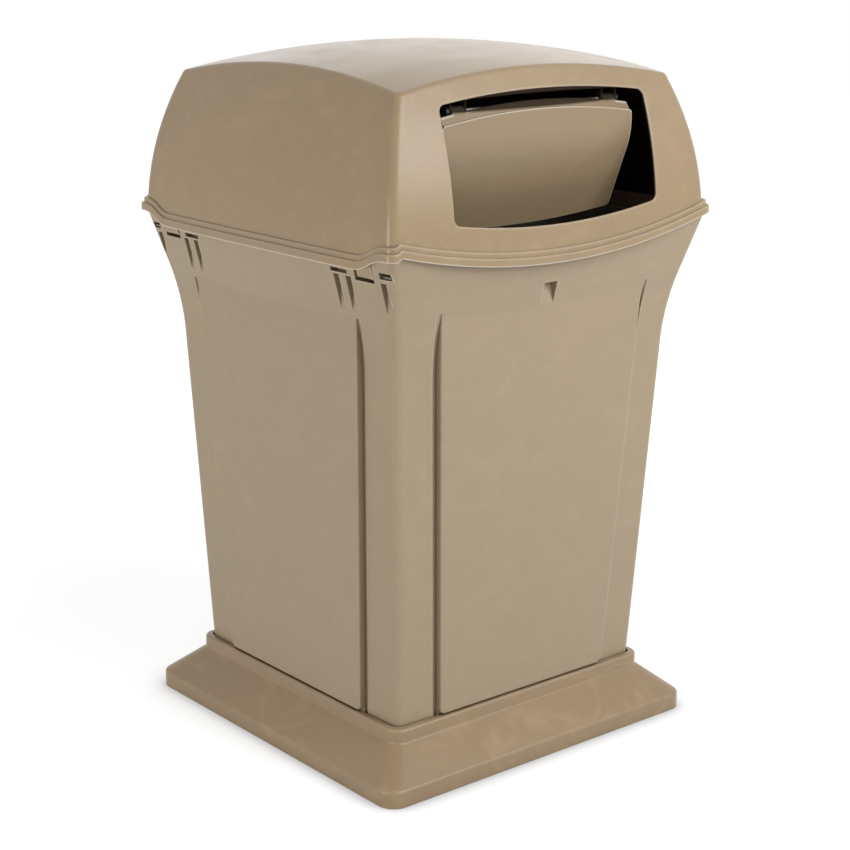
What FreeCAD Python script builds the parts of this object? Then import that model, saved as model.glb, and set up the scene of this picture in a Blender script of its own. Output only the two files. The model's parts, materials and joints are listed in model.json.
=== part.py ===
import FreeCAD, Part
import math
import os
from FreeCAD import Vector

# Square fire-safe waste container with a domed hood, two swing doors and a lift-out liner.
# Millimetres. +Z is up, the origin is the centre of the plinth's underside on the floor.
# The front opening faces -Y, the hinge side of the hood is -X.

os.makedirs("parts", exist_ok=True)

# Overall form
total_height = 1054.0
face_bow_radius = 10750.0
reach = 420.0
overrun = 20.0
slab_half_angle = 3.0
seat_gap = 0.3

# Base plinth
plinth_half = 305.0
plinth_band_height = 25.0
plinth_corner_radius = 28.0
plinth_wall = 6.0
plinth_slope_top = 70.0
plinth_lip_half = 253.5
plinth_lip_top = 91.0
plinth_lip_corner_radius = 20.0
plinth_lip_edge_radius = 4.5
plinth_fold_radius = 5.0
plinth_foot_radius = 4.0
plinth_rib = 5.0
plinth_rib_drop = 45.0
socket_floor_top = 76.0
socket_half = 243.6
socket_corner_radius = 12.5
socket_plate = 6.0

# Body shell, half-widths at the middle of a face
body_wall = 7.0
body_floor = 6.0
body_low_height = 101.6
body_low_half = 244.1
body_bend_from_top = 394.0
body_bend_half = 271.9
body_bend_radius = 520.0
body_top_from_top = 224.0
body_top_half = 318.8
body_rim_half = 309.0
body_corner_radius = 12.5
body_bend_height = total_height - body_bend_from_top
body_top_height = total_height - body_top_from_top

# Raised flat panel on each face
panel_bottom = 94.0
panel_top_from_top = 342.0
panel_low_half = 251.9
panel_side_low_half = 166.0
panel_side_top_half = 198.0
panel_corner_radius = 9.0
panel_edge_radius = 2.5
panel_wall = 8.0
groove_width = 8.5
groove_depth = 13.5
groove_shoulder_from_top = 436.0
groove_tip_from_top = 347.0
panel_top = total_height - panel_top_from_top
groove_shoulder = total_height - groove_shoulder_from_top
groove_tip = total_height - groove_tip_from_top

# Seam between body and hood, which dips along each face and is low at the hinge side's corners
seam_from_top = 249.4
seam_front_dip = 43.1
seam_front_span = 318.0
seam_hinge_drop = 11.6
seam_step_outer = 302.0
seam_step_inner = 291.0
seam_ramp = 9.0
seam_side_dip = 29.8
seam_side_flat = 228.0
seam_side_rise_end = 296.0
seam_catch_rise = 7.4
rim_above_seam = 9.0
hinge_rim_above_seam = 4.0
hinge_rim_from_centre = 262.0
seam_height = total_height - seam_from_top

# Hood
hood_wall_half = 309.3
hood_wall_radius = 560.0
hood_tangent_from_top = 269.0
hood_dome_radius = 1450.0
hood_wall = 5.0
hood_corner_radius = 15.0
hood_top_edge_radius = 9.0
hood_wall_tangent_height = total_height - hood_tangent_from_top
flange_half = 316.0
flange_height = 20.0
flange_ledge = 3.4
flange_ledge_height = 12.0
flange_edge_radius = 2.4
flange_plate_top = 14.5
flange_skirt = 4.0
flange_inner_half = 302.0
flange_corner_radius = 12.5

# Openings in the front and rear of the hood
opening_half = 196.0
opening_top_corner_from_top = 66.0
opening_top_middle_from_top = 53.0
opening_low_corner_from_top = 223.0
opening_low_middle_from_top = 239.0
opening_corner_radius = 12.0
opening_rim_radius = 1.8
opening_top_corner = total_height - opening_top_corner_from_top
opening_top_middle = total_height - opening_top_middle_from_top
opening_low_corner = total_height - opening_low_corner_from_top
opening_low_middle = total_height - opening_low_middle_from_top

# Swing doors, places given for the front one
door_half = 182.0
door_face = 263.0
door_bend_from_top = 112.0
door_bend_radius = 100.0
door_lean_degrees = 21.3
door_ridge_from_top = 95.0
door_arch = 14.0
door_facet_depth = 11.0
door_facet_height = 16.0
door_ridge_step = 3.0
door_low_corner_from_top = 239.0
door_low_middle_from_top = 251.0
door_corner_radius = 6.0
door_skin = 3.5
door_depth = 10.0
door_rib = 4.0
door_rib_from_centre = 60.0
door_axis_from_centre = 244.3
door_axis_from_top = 77.0
door_rod_radius = 3.0
running_gap = 0.06
door_knuckle_radius = 6.5
door_knuckle_from_centre = 145.0
door_knuckle_length = 23.0
lug_thickness = 3.0
lug_radius = 6.0
lug_side_gap = 0.8
cap_radius = 6.0
cap_thickness = 4.0
door_bend_height = total_height - door_bend_from_top
door_ridge_corner = total_height - door_ridge_from_top
door_low_corner = total_height - door_low_corner_from_top
door_low_middle = total_height - door_low_middle_from_top
door_axis_height = total_height - door_axis_from_top

# Hinge and catch sets, places given for the set in the -X -Y corner
pin_radius = 3.0
pin_from_centre = 291.0
pin_from_top = 286.0
pin_near = 203.0
pin_far = 291.0
tab_near = 222.3
tab_far = 255.8
tab_radius = 7.5
tab_waist_from_top = 268.0
tab_waist_outer = 304.5
tab_waist_inner = 292.0
tab_top_from_top = 242.0
tab_top_inner = 300.0
window_near = 216.0
window_far = 257.2
window_from_top = 297.0
window_inner = 256.0
catch_slot_gap = 0.4
boss_inner = 276.0
boss_near = 156.0
boss_far = 298.0
boss_bottom_from_top = 356.0
boss_top_from_top = 272.0
slot_near = 164.0
slot_far = 200.0
slot_from_top = 291.0
slot_height = 6.0
slot_depth = 11.0
port_near = 270.0
port_far = 293.5
port_from_top = 288.0
port_height = 9.0
pocket_first = 168.0
pocket_second = 194.5
pocket_third = 269.5
pocket_width = 12.0
pocket_from_top = 294.0
pocket_height = 51.0
third_pocket_height = 45.0
pin_height = total_height - pin_from_top
tab_waist = total_height - tab_waist_from_top
tab_top = total_height - tab_top_from_top
window_bottom = total_height - window_from_top
boss_bottom = total_height - boss_bottom_from_top
boss_top = total_height - boss_top_from_top
slot_bottom = total_height - slot_from_top
port_bottom = total_height - port_from_top
pocket_top = total_height - pocket_from_top

# Wedge-shaped pull pocket in the middle of the front and rear faces
notch_half = 13.0
notch_bottom_from_top = 357.0
notch_top_from_top = 325.0
notch_depth = 15.0
notch_bottom = total_height - notch_bottom_from_top
notch_top = total_height - notch_top_from_top

# Liner of sheet steel
liner_sheet = 1.2
liner_from_top = 319.0
liner_low_half = 224.0
liner_top_half = 253.0
liner_corner_radius = 40.0
liner_bead_radius = 4.0
pan_recess = 9.0
ear_width = 24.0
ear_height = 40.0
ear_thickness = 2.0
ear_below_rim = 34.0
ear_from_centre = 75.0
ear_standoff = 9.0
ear_eye_radius = 6.0
ear_eye_length = 12.0
bail_radius = 3.0
bail_drop = 70.0
bail_half = 56.0
bail_bend_radius = 9.0
rivet_radius = 2.4
rivet_head_radius = 4.5
rivet_head = 1.6
rivet_rise = 13.0
rivet_gap = 0.15
liner_top = total_height - liner_from_top

# Bolts through the body floor into the plinth
bolt_place = 190.0
bolt_radius = 4.0
bolt_head_across = 13.0
bolt_head_height = 5.3
washer_radius = 10.0
washer_thickness = 1.8
nut_height = 6.5
bolt_tail = 4.0
bolt_hole_gap = 0.5

up = Vector(0, 0, 1)
origin = Vector(0, 0, 0)


def line(start, end):
    return Part.makeLine(start, end)


def arc(start, middle, end):
    return Part.Arc(start, middle, end).toShape()


def closed(points):
    """Closed wire of straight edges through the points."""
    return Part.makePolygon(list(points) + [points[0]])


def face_of(edges):
    return Part.Face(Part.Wire(Part.__sortEdges__(edges)))


def prism(points, push):
    return Part.Face(closed(points)).extrude(push)


def box(low_x, low_y, low_z, high_x, high_y, high_z):
    return Part.makeBox(high_x - low_x, high_y - low_y, high_z - low_z, Vector(low_x, low_y, low_z))


def rod(start, end, radius):
    along = end.sub(start)
    return Part.makeCylinder(radius, along.Length, start, along)


def turned(shape, degrees):
    copy = shape.copy()
    copy.rotate(origin, up, degrees)
    return copy


def mirrored_x(shape):
    return shape.mirror(origin, Vector(1, 0, 0))


def mirrored_y(shape):
    return shape.mirror(origin, Vector(0, 1, 0))


def in_four_corners(shape):
    """The shape and its mirror images in all four corners."""
    pair = [shape, mirrored_y(shape)]
    return pair + [mirrored_x(one) for one in pair]


def joined(shapes):
    return shapes[0].multiFuse(shapes[1:]).removeSplitter()


def without(shape, cutters):
    return shape.cut(Part.makeCompound(cutters))


def smoothed(shape, radius, edges):
    return shape.makeFillet(radius, edges)


def bow_at(side):
    """How far a bowed face falls back at a distance to the side of its middle."""
    return side * side / (2 * face_bow_radius)


def bowed_slab(edges):
    """Turn a closed XZ outline a few degrees about a far upright axis, which bows its +X side."""
    face = face_of(edges)
    pole = Vector(flange_half - face_bow_radius, 0, 0)
    face.rotate(pole, up, -slab_half_angle)
    return face.revolve(pole, up, 2 * slab_half_angle)


def four_sided(edges):
    """The block that four bowed slabs, a quarter turn apart, have in common."""
    slab = bowed_slab(edges)
    block = slab
    for quarter in (1, 2, 3):
        block = block.common(turned(slab, 90 * quarter))
    return block


def corner_edges(shape, least_rise):
    """Edges that run up the four corners."""
    found = []
    for edge in shape.Edges:
        middle = edge.CenterOfMass
        on_diagonal = abs(abs(middle.x) - abs(middle.y)) < seat_gap
        rises = abs(edge.Vertexes[0].Z - edge.Vertexes[-1].Z) > least_rise
        if on_diagonal and rises:
            found.append(edge)
    return found


def round_corners(shape, radius):
    return smoothed(shape, radius, corner_edges(shape, radius))


def upright_block(half, low, high, radius):
    """Bowed square block with upright faces and rounded corners."""
    points = [Vector(-reach, 0, low), Vector(half, 0, low), Vector(half, 0, high), Vector(-reach, 0, high)]
    return round_corners(four_sided(closed(points).Edges), radius)


def rounded_square(half, radius, height):
    """Closed wire of a square with round corners."""
    flat = half - radius
    cut = half - radius + radius * math.sqrt(0.5)
    edges = []
    for quarter in range(4):
        side = line(Vector(half, -flat, height), Vector(half, flat, height))
        corner = arc(Vector(half, flat, height), Vector(cut, cut, height), Vector(flat, half, height))
        edges += [turned(side, 90 * quarter), turned(corner, 90 * quarter)]
    return Part.Wire(Part.__sortEdges__(edges))


def square_block(half, radius, low, high):
    return Part.Face(rounded_square(half, radius, low)).extrude(Vector(0, 0, high - low))


def tapered_block(low_half, low_radius, low, high_half, high_radius, high):
    wires = [rounded_square(low_half, low_radius, low), rounded_square(high_half, high_radius, high)]
    return Part.makeLoft(wires, True, True)


def elevation_block(edges, depth):
    """A closed XZ outline pushed both ways along Y."""
    face = face_of(edges)
    face.translate(Vector(0, -depth, 0))
    return face.extrude(Vector(0, 2 * depth, 0))


def arched_outline(half, low_corner, low_middle, top_corner, top_middle):
    """XZ outline with upright sides and an arc along its top and bottom."""
    low_left = Vector(-half, 0, low_corner)
    low_right = Vector(half, 0, low_corner)
    top_left = Vector(-half, 0, top_corner)
    top_right = Vector(half, 0, top_corner)
    return [
        line(low_left, top_left),
        arc(top_left, Vector(0, 0, top_middle), top_right),
        line(top_right, low_right),
        arc(low_right, Vector(0, 0, low_middle), low_left),
    ]


def arched_block(outline, radius):
    """An arched outline pushed through both ways, with round corners."""
    block = elevation_block(outline, reach)
    along_y = [edge for edge in block.Edges if edge.BoundBox.YLength > reach]
    return smoothed(block, radius, along_y)


# Seam surface between body and hood


def s_bend(start, end):
    """Two arcs, level at both ends, between two points at different heights."""
    run = end.x - start.x
    rise = end.z - start.z
    radius = (run * run + rise * rise) / (4 * abs(rise))
    half_turn = math.atan(abs(rise / run))
    side = math.copysign(radius * math.sin(half_turn), run)
    lift = math.copysign(radius * (1 - math.cos(half_turn)), rise)
    middle = start.add(end) * 0.5
    first = arc(start, start.add(Vector(side, 0, lift)), middle)
    return [first, arc(middle, end.sub(Vector(side, 0, lift)), end)]


def front_dip_at(side):
    """How far the front's arc lies below its ends at a distance to the side of its middle."""
    span = seam_front_span
    radius = (span * span + seam_front_dip * seam_front_dip) / (2 * seam_front_dip)
    return math.sqrt(radius * radius - side * side) - radius + seam_front_dip


def front_seam(height):
    """Edges of the seam on the front face: one long dip, and a step down to the hinge side's corner."""
    corner = Vector(-seam_step_outer, 0, height - seam_hinge_drop)
    peak = Vector(-seam_step_inner, 0, height - front_dip_at(seam_step_inner))
    right = Vector(seam_front_span, 0, height)
    edges = [line(Vector(-reach, 0, corner.z), corner)] + s_bend(corner, peak)
    edges.append(arc(peak, Vector(0, 0, height - seam_front_dip), right))
    return edges + [line(right, Vector(reach, 0, height))]


def hinge_side_seam(height):
    """Half of the seam on the hinge side: a straight dip, a rise, a level corner and a ramp past it."""
    level = height - seam_hinge_drop
    flat_end = Vector(seam_side_flat, 0, height - seam_side_dip)
    rise_end = Vector(seam_side_rise_end, 0, level)
    ramp_start = Vector(seam_step_outer, 0, level)
    ramp_end = Vector(seam_step_outer + seam_ramp, 0, height)
    edges = [line(Vector(0, 0, flat_end.z), flat_end)] + s_bend(flat_end, rise_end)
    edges += [line(rise_end, ramp_start), line(ramp_start, ramp_end)]
    return edges + [line(ramp_end, Vector(reach, 0, height))]


def catch_side_seam(height):
    """Half of the seam on the catch side: a straight dip and a rise past the corner's height."""
    flat_end = Vector(seam_side_flat, 0, height - seam_side_dip)
    rise_end = Vector(seam_side_rise_end, 0, height + seam_catch_rise)
    edges = [line(Vector(0, 0, flat_end.z), flat_end)] + s_bend(flat_end, rise_end)
    return edges + [line(rise_end, Vector(reach, 0, rise_end.z))]


def lidded(edges, left, right):
    """Close an open outline, between two points, far above."""
    ceiling = total_height + overrun
    left_top = Vector(left.x, 0, ceiling)
    right_top = Vector(right.x, 0, ceiling)
    return edges + [line(right, right_top), line(right_top, left_top), line(left_top, left)]


def above_seam(offset):
    """Everything above the seam surface raised by an offset; the lower of two seams counts."""
    height = seam_height + offset
    left = Vector(-reach, 0, height - seam_hinge_drop)
    blocks = [elevation_block(lidded(front_seam(height), left, Vector(reach, 0, height)), reach)]
    low = Vector(0, 0, height - seam_side_dip)
    hinge = lidded(hinge_side_seam(height), low, Vector(reach, 0, height))
    catch = lidded(catch_side_seam(height), low, Vector(reach, 0, height + seam_catch_rise))
    for edges, degrees in ((hinge, 90), (catch, -90)):
        face = face_of(edges)
        half = turned(face.extrude(Vector(0, reach, 0)), degrees)
        blocks += [half, mirrored_y(half)]
    return joined(blocks)


# Base plinth


def plinth_form(inset, low, top):
    """Solid form of the plinth up to a height, set in from its faces."""
    band_half = plinth_half - inset
    lip_half = plinth_lip_half - inset
    band_radius = plinth_corner_radius - inset
    lip_radius = plinth_lip_corner_radius - inset
    fold = plinth_band_height - inset / 2
    band = square_block(band_half, band_radius, low, fold)
    slope = tapered_block(band_half, band_radius, fold, lip_half, lip_radius, plinth_slope_top - inset / 2)
    lip = square_block(lip_half, lip_radius, plinth_slope_top - inset / 2, top)
    return joined([band, slope, lip])


def level_edges(shape, height, least_reach, most_reach):
    """Edges that lie at one height and within a band of distances from the upright axis."""
    found = []
    for edge in shape.Edges:
        bounds = edge.BoundBox
        middle = edge.CenterOfMass
        out = max(abs(middle.x), abs(middle.y))
        level = abs(bounds.ZMin - height) < seat_gap and abs(bounds.ZMax - height) < seat_gap
        if level and least_reach < out < most_reach:
            found.append(edge)
    return found


def make_base_plinth():
    form = plinth_form(0, 0, plinth_lip_top)
    least = plinth_lip_half / 2
    form = smoothed(form, plinth_fold_radius, level_edges(form, plinth_band_height, least, reach))
    form = smoothed(form, plinth_foot_radius, level_edges(form, plinth_slope_top, least, reach))
    form = smoothed(form, plinth_lip_edge_radius, level_edges(form, plinth_lip_top, least, reach))
    hollow = plinth_form(plinth_wall, -overrun, socket_floor_top - socket_plate)
    socket = square_block(socket_half, socket_corner_radius, socket_floor_top, plinth_lip_top + overrun)
    shell = without(form, [hollow, socket] + bolt_holes())
    return joined([shell] + plinth_ribs(hollow))


def plinth_ribs(hollow):
    """Upright ribs under the sloping skirt, two on each side."""
    rib_low = socket_floor_top - socket_plate - plinth_rib_drop
    high = socket_floor_top
    rib = box(socket_half - plinth_rib_drop, -plinth_rib / 2, rib_low, plinth_half, plinth_rib / 2, high)
    ribs = []
    for quarter in range(4):
        for side in (-1, 1):
            moved = rib.copy()
            moved.translate(Vector(0, side * plinth_half / 3, 0))
            ribs.append(turned(moved, 90 * quarter).common(hollow))
    return ribs


def bolt_places():
    return [Vector(x, y, 0) for x in (-bolt_place, bolt_place) for y in (-bolt_place, bolt_place)]


def bolt_holes():
    holes = []
    for place in bolt_places():
        low = Vector(place.x, place.y, -overrun)
        high = Vector(place.x, place.y, panel_bottom)
        holes.append(rod(low, high, bolt_radius + bolt_hole_gap))
    return holes


# Body shell


def body_outline(inset, low):
    """XZ outline of the body: a straight taper, a bend and a straight flare."""
    top_slope = (body_top_half - body_bend_half) / (body_top_height - body_bend_height)
    low_angle = math.atan(low_slope())
    top_angle = math.atan(top_slope)
    bend_half = body_bend_half - inset
    run = body_bend_radius * math.tan((top_angle - low_angle) / 2)
    foot = Vector(bend_half - low_slope() * (body_bend_height - low), 0, low)
    start = Vector(bend_half - run * math.sin(low_angle), 0, body_bend_height - run * math.cos(low_angle))
    end = Vector(bend_half + run * math.sin(top_angle), 0, body_bend_height + run * math.cos(top_angle))
    outward = Vector(math.cos(low_angle), 0, -math.sin(low_angle))
    centre = start.add(outward * body_bend_radius)
    angle = (low_angle + top_angle) / 2
    middle = centre.sub(Vector(math.cos(angle), 0, -math.sin(angle)) * body_bend_radius)
    brim = Vector(body_top_half - inset, 0, body_top_height)
    back_low = Vector(-reach, 0, low)
    back_high = Vector(-reach, 0, body_top_height)
    straight = [line(back_low, foot), line(foot, start), line(end, brim), line(brim, back_high)]
    return straight + [arc(start, middle, end), line(back_high, back_low)]


def low_slope():
    """Lean of the body's faces, and of its panels, below the bend."""
    return (body_bend_half - body_low_half) / (body_bend_height - body_low_height)


def panel_half_at(height):
    return panel_low_half + low_slope() * (height - body_low_height)


def panel_side_at(height):
    share = (height - panel_bottom) / (panel_top - panel_bottom)
    return panel_side_low_half + (panel_side_top_half - panel_side_low_half) * share


def panel_form(inset, side_inset, depth):
    """The flat panel of the +X face, from its plane set in by an inset to a depth behind it."""
    low = panel_bottom
    high = panel_top
    plane_low = panel_half_at(low) - inset
    plane_high = panel_half_at(high) - inset
    back = plane_low - depth
    profile = [Vector(back, -reach, low), Vector(plane_low, -reach, low)]
    profile += [Vector(plane_high, -reach, high), Vector(back, -reach, high)]
    slab = prism(profile, Vector(0, 2 * reach, 0))
    near = panel_side_at(low) - side_inset
    far = panel_side_at(high) - side_inset
    sides = [Vector(0, -near, low), Vector(0, near, low), Vector(0, far, high), Vector(0, -far, high)]
    plate = prism(sides, Vector(reach, 0, 0))
    low_corners = [e for e in plate.Edges if e.BoundBox.XLength > back and e.CenterOfMass.z < low + overrun]
    return smoothed(plate, panel_corner_radius, low_corners).common(slab)


def make_panel():
    """Raised panel with softened front edges."""
    panel = panel_form(0, 0, panel_wall + groove_depth)
    front = []
    for edge in panel.Edges:
        middle = edge.CenterOfMass
        on_plane = abs(middle.x - panel_half_at(middle.z)) < seat_gap
        if on_plane and middle.z < panel_top - overrun / 2:
            front.append(edge)
    return smoothed(panel, panel_edge_radius, front)


def groove_floor(height, depth):
    """Point at a depth behind the panel's plane."""
    return Vector(panel_half_at(height) - depth, -reach, height)


def make_groove():
    """Cutter for the groove at the +Y side of the +X panel; its floor runs out along an arc."""
    low = socket_floor_top - overrun
    length = groove_tip - groove_shoulder
    radius = (length * length + groove_depth * groove_depth) / (2 * groove_depth)
    halfway_rise = radius - math.sqrt(radius * radius - length * length / 4)
    foot = groove_floor(low, groove_depth)
    shoulder = groove_floor(groove_shoulder, groove_depth)
    halfway = groove_floor(groove_shoulder + length / 2, groove_depth - halfway_rise)
    tip = groove_floor(groove_tip, 0)
    outer_tip = groove_floor(groove_tip, -overrun)
    outer_foot = groove_floor(low, -overrun)
    profile = [line(foot, shoulder), arc(shoulder, halfway, tip), line(tip, outer_tip)]
    profile += [line(outer_tip, outer_foot), line(outer_foot, foot)]
    slab = face_of(profile).extrude(Vector(0, 2 * reach, 0))
    side_low = panel_side_at(low)
    side_top = panel_side_at(groove_tip)
    strip = [
        Vector(0, side_low, low),
        Vector(0, side_low + groove_width, low),
        Vector(0, side_top + groove_width, groove_tip),
        Vector(0, side_top, groove_tip),
    ]
    return prism(strip, Vector(reach, 0, 0)).common(slab)


def make_boss():
    """Thick block behind the wall that carries a hinge or catch pin, in the -X -Y corner."""
    return box(-reach, -boss_far, boss_bottom, -boss_inner, -boss_near, boss_top)


def wall_at(height, side):
    """Half-width of the body's outer face in the flare, off its middle."""
    top_slope = (body_top_half - body_bend_half) / (body_top_height - body_bend_height)
    return body_bend_half + top_slope * (height - body_bend_height) - bow_at(side)


def set_cutters():
    """Window, slots and tapering pockets of one hinge or catch set in the -X -Y corner."""
    window = box(-reach, -window_far, window_bottom, -window_inner, -window_near, total_height)
    slot_back = wall_at(slot_bottom, slot_near) - slot_depth
    slot = box(-reach, -slot_far, slot_bottom, -slot_back, -slot_near, slot_bottom + slot_height)
    port_back = pin_from_centre - pin_radius - running_gap
    port = box(-reach, -port_far, port_bottom, -port_back, -port_near, port_bottom + port_height)
    pin_bore = rod(
        Vector(-pin_from_centre, -pin_far, pin_height),
        Vector(-pin_from_centre, -pin_near, pin_height),
        pin_radius + running_gap,
    )
    pockets = []
    places = [(pocket_first, pocket_height), (pocket_second, pocket_height)]
    for near, height in places + [(pocket_third, third_pocket_height)]:
        bottom = pocket_top - height
        back = wall_at(bottom, near)
        pockets.append(box(-reach, -near - pocket_width, bottom, -back, -near, pocket_top))
    return [window, slot, port, pin_bore] + pockets


def make_notch():
    """Wedge-shaped pocket in the middle of the -Y face, deepest at its top."""
    front_low = wall_at(notch_bottom, 0)
    front_high = wall_at(notch_top, 0)
    wedge = [
        Vector(-notch_half, -front_low, notch_bottom),
        Vector(-notch_half, -front_low - overrun, notch_bottom),
        Vector(-notch_half, -front_high - overrun, notch_top),
        Vector(-notch_half, -front_high + notch_depth, notch_top),
    ]
    return prism(wedge, Vector(2 * notch_half, 0, 0))


def make_body_shell():
    low = socket_floor_top + seat_gap
    outer = round_corners(four_sided(body_outline(0, low)), body_corner_radius)
    grooves = []
    panels = []
    hollows = []
    for quarter in range(4):
        groove = turned(make_groove(), 90 * quarter)
        grooves += [groove, turned(mirrored_y(make_groove()), 90 * quarter)]
        panels.append(turned(make_panel(), 90 * quarter))
        hollows.append(turned(panel_form(panel_wall, panel_wall, groove_depth + panel_wall), 90 * quarter))
    cavity = round_corners(four_sided(body_outline(body_wall, low + body_floor)), body_corner_radius / 2)
    rim_guard = upright_block(body_rim_half, low, body_top_height, body_corner_radius)
    hinge_side = box(-reach, -reach, body_bend_height, -hinge_rim_from_centre, reach, total_height)
    rim = [above_seam(rim_above_seam), above_seam(hinge_rim_above_seam).common(hinge_side)]
    outer = outer.common(rim_guard)
    form = without(joined([outer] + panels), grooves)
    shell = without(form, [cavity.cut(Part.makeCompound(notch_backs()))])
    shell = without(shell, hollow_clear(hollows))
    bosses = [boss.common(outer) for boss in in_four_corners(make_boss())]
    shell = joined([shell] + bosses)
    cutters = rim
    for cutter in set_cutters():
        cutters += in_four_corners(cutter)
    notch = make_notch()
    cutters += [notch, turned(notch, 180)] + bolt_holes()
    return without(shell, cutters)


def notch_backs():
    """Solid backing behind the two wedge pockets."""
    deep = wall_at(notch_bottom, 0) - notch_depth - body_wall / 2
    half = notch_half + body_wall
    back = box(-half, -reach, notch_bottom - body_wall, half, -deep, notch_top + body_wall)
    return [back, turned(back, 180)]


def hollow_clear(hollows):
    """The space behind each raised panel, kept above the floor plate and out of the notch backs."""
    above_floor = box(-reach, -reach, floor_top(), reach, reach, groove_tip - groove_depth)
    return [hollow.common(above_floor).cut(Part.makeCompound(notch_backs())) for hollow in hollows]


# Hood


def hood_half_at(height):
    """Half-width of the hood's outer wall at the middle of a face."""
    rise = height - hood_wall_tangent_height
    return hood_wall_half - hood_wall_radius + math.sqrt(hood_wall_radius * hood_wall_radius - rise * rise)


def hood_outline(inset):
    """XZ outline of the hood wall: upright at its foot, then one arc that leans in."""
    low = body_bend_height
    radius = hood_wall_radius - inset
    centre = Vector(hood_wall_half - hood_wall_radius, 0, hood_wall_tangent_height)
    lean = math.asin((total_height + overrun - hood_wall_tangent_height) / radius)
    start = centre.add(Vector(radius, 0, 0))
    middle = centre.add(Vector(math.cos(lean / 2), 0, math.sin(lean / 2)) * radius)
    end = centre.add(Vector(math.cos(lean), 0, math.sin(lean)) * radius)
    foot = Vector(start.x, 0, low)
    back_low = Vector(-reach, 0, low)
    back_high = Vector(-reach, 0, end.z)
    wall = [line(foot, start), arc(start, middle, end)]
    return wall + [line(end, back_high), line(back_high, back_low), line(back_low, foot)]


def hood_form(inset, corner_radius, top_radius):
    """Solid form of the hood without its flange, set in from its outer face."""
    centre = Vector(0, 0, total_height - hood_dome_radius)
    radius = hood_dome_radius - inset
    form = four_sided(hood_outline(inset)).common(Part.makeSphere(radius, centre))
    form = round_corners(form, corner_radius)
    dome_edges = []
    for edge in form.Edges:
        off = [abs(vertex.Point.distanceToPoint(centre) - radius) for vertex in edge.Vertexes]
        if max(off) < seat_gap and edge.BoundBox.ZLength < hood_dome_radius - radius + flange_height * 2:
            dome_edges.append(edge)
    return smoothed(form, top_radius, dome_edges)


def seam_band(half, low_offset, high_offset, radius):
    """Upright block between two heights above the seam."""
    low = body_bend_height
    block = upright_block(half, low, total_height, radius)
    return block.common(above_seam(low_offset)).cut(above_seam(high_offset))


def top_rim(block):
    """Edges round the outside of a block's top."""
    found = []
    for edge in block.Edges:
        middle = edge.valueAt((edge.FirstParameter + edge.LastParameter) / 2)
        step = Vector(0, 0, seat_gap)
        outward = Vector(middle.x, middle.y, 0).normalize() * seat_gap
        below = block.isInside(middle.sub(step), seat_gap / 10, True)
        above = block.isInside(middle.add(step), seat_gap / 10, True)
        beside = block.isInside(middle.sub(step).add(outward), seat_gap / 10, True)
        if below and not above and not beside:
            found.append(edge)
    return found


def make_flange():
    """Flange that follows the seam, with a ledge round it and softened edges."""
    lower = seam_band(flange_half, 0, flange_ledge_height, flange_corner_radius)
    upper = seam_band(flange_half - flange_ledge, 0, flange_height, flange_corner_radius)
    return joined([smoothed(band, flange_edge_radius, top_rim(band)) for band in (lower, upper)])


def make_tab():
    """Hinge tab in the -X -Y corner, from the flange down round the pin."""
    far_end = Vector(-pin_from_centre, -tab_far, pin_height)
    near_end = Vector(-pin_from_centre, -tab_near, pin_height)
    knuckle = rod(far_end, near_end, tab_radius)
    outline = [
        Vector(-pin_from_centre - tab_radius, -tab_far, pin_height),
        Vector(-tab_waist_outer, -tab_far, tab_waist),
        Vector(-tab_waist_outer, -tab_far, tab_top),
        Vector(-tab_top_inner, -tab_far, tab_top),
        Vector(-tab_waist_inner, -tab_far, tab_waist),
        Vector(-pin_from_centre + tab_radius, -tab_far, pin_height),
    ]
    arm = prism(outline, Vector(0, tab_far - tab_near, 0))
    return joined([knuckle, arm])


def make_lug(from_middle):
    """Lug that hangs from the dome and holds the front door's rod."""
    centre = Vector(from_middle - lug_thickness / 2, -door_axis_from_centre, door_axis_height)
    eye = rod(centre, centre.add(Vector(lug_thickness, 0, 0)), lug_radius)
    plate = box(
        centre.x,
        centre.y - lug_radius,
        centre.z,
        centre.x + lug_thickness,
        centre.y + lug_radius,
        total_height,
    )
    return joined([eye, plate])


def lug_places():
    half = door_knuckle_length / 2 + lug_side_gap + lug_thickness / 2
    middles = (-door_knuckle_from_centre, door_knuckle_from_centre)
    return [middle + side * half for middle in middles for side in (-1, 1)]


def make_hood_shell():
    outer = hood_form(0, hood_corner_radius, hood_top_edge_radius)
    inner = hood_form(hood_wall, hood_corner_radius - hood_wall, hood_top_edge_radius - hood_wall)
    low = body_bend_height
    shell = joined([outer.common(above_seam(flange_plate_top)), make_flange()])
    skirt_half = flange_half - flange_skirt
    skirt = upright_block(skirt_half, low, total_height, flange_corner_radius - flange_skirt)
    skirt = skirt.cut(above_seam(rim_above_seam + seat_gap))
    hole = upright_block(flange_inner_half, low, body_top_height, flange_corner_radius - flange_skirt)
    hinge_side = box(-reach, -seam_side_rise_end, low, -window_inner, seam_side_rise_end, body_top_height)
    cavity = inner.common(above_seam(flange_plate_top))
    shell = without(shell, [cavity, skirt, hole, inner.common(hinge_side)])
    tabs = in_four_corners(make_tab())
    lugs = []
    for place in lug_places():
        lug = make_lug(place).common(outer)
        lugs += [lug, turned(lug, 180)]
    shell = joined([shell] + tabs + lugs)
    shell = without(shell, [opening_cutter()])
    return without(soft_rims(shell), hood_bores())


def opening_cutter():
    """Cutter for the openings in the front and rear wall, clear of the lugs between them."""
    low = (opening_low_corner, opening_low_middle)
    top = (opening_top_corner, opening_top_middle)
    block = arched_block(arched_outline(opening_half, *low, *top), opening_corner_radius)
    return block.cut(box(-reach, -door_face, body_bend_height, reach, door_face, total_height))


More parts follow.
